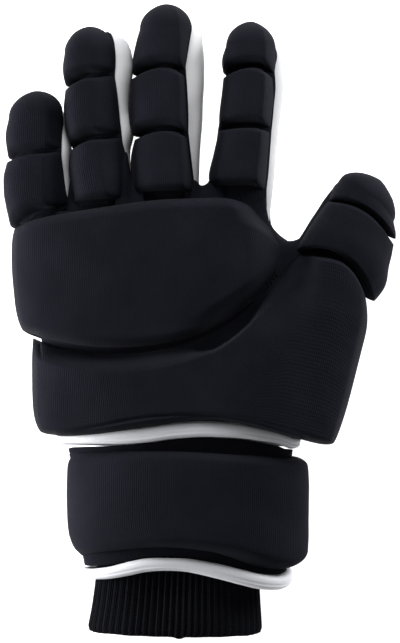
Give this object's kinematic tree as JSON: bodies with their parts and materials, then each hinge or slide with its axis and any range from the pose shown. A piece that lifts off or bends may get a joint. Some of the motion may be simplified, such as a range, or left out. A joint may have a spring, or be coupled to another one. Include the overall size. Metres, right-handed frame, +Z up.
{
  "type": "field hockey glove",
  "caption": "Left-hand field hockey glove with foam pads over the back of the hand, fingers and thumb, a padded wrist cuff and a ribbed knit cuff; hollow, open at the wrist.",
  "frame": {"origin": "on the surface the glove lies on, under the middle of its bounding box", "axes": "+Y towards the fingertips, +X towards the thumb, +Z up through the back of the hand; palm down"},
  "size_m": [0.1812, 0.2905, 0.04],
  "materials": {
    "white_cloth": "fine white stretch cloth, matt",
    "black_cloth": "smooth black stretch cloth, matt",
    "pad_cover": "fine ribbed black knit laminated on foam, matt with a soft sheen",
    "white_binding": "white folded binding, stitched along its middle",
    "black_knit": "black rib knit"
  },
  "bodies": {
    "root": {"palm_cloth": "white_cloth", "back_cloth": "black_cloth", "little_stall": "white_cloth", "ring_stall": "white_cloth", "middle_stall": "white_cloth", "index_stall": "white_cloth", "thumb_stall": "white_cloth", "little_base_pad": "pad_cover", "little_tip_pad": "pad_cover", "ring_base_pad": "pad_cover", "ring_middle_pad": "pad_cover", "ring_tip_pad": "pad_cover", "middle_base_pad": "pad_cover", "middle_middle_pad": "pad_cover", "middle_tip_pad": "pad_cover", "index_base_pad": "pad_cover", "index_middle_pad": "pad_cover", "index_tip_pad": "pad_cover", "thumb_middle_pad": "pad_cover", "thumb_tip_pad": "pad_cover", "knuckle_pad": "pad_cover", "hand_pad": "pad_cover", "upper_binding": "white_binding", "base_cuff": "black_cloth", "cuff_pad": "pad_cover", "lower_binding": "white_binding", "knit_cuff": "black_knit"}
  },
  "joints": []
}
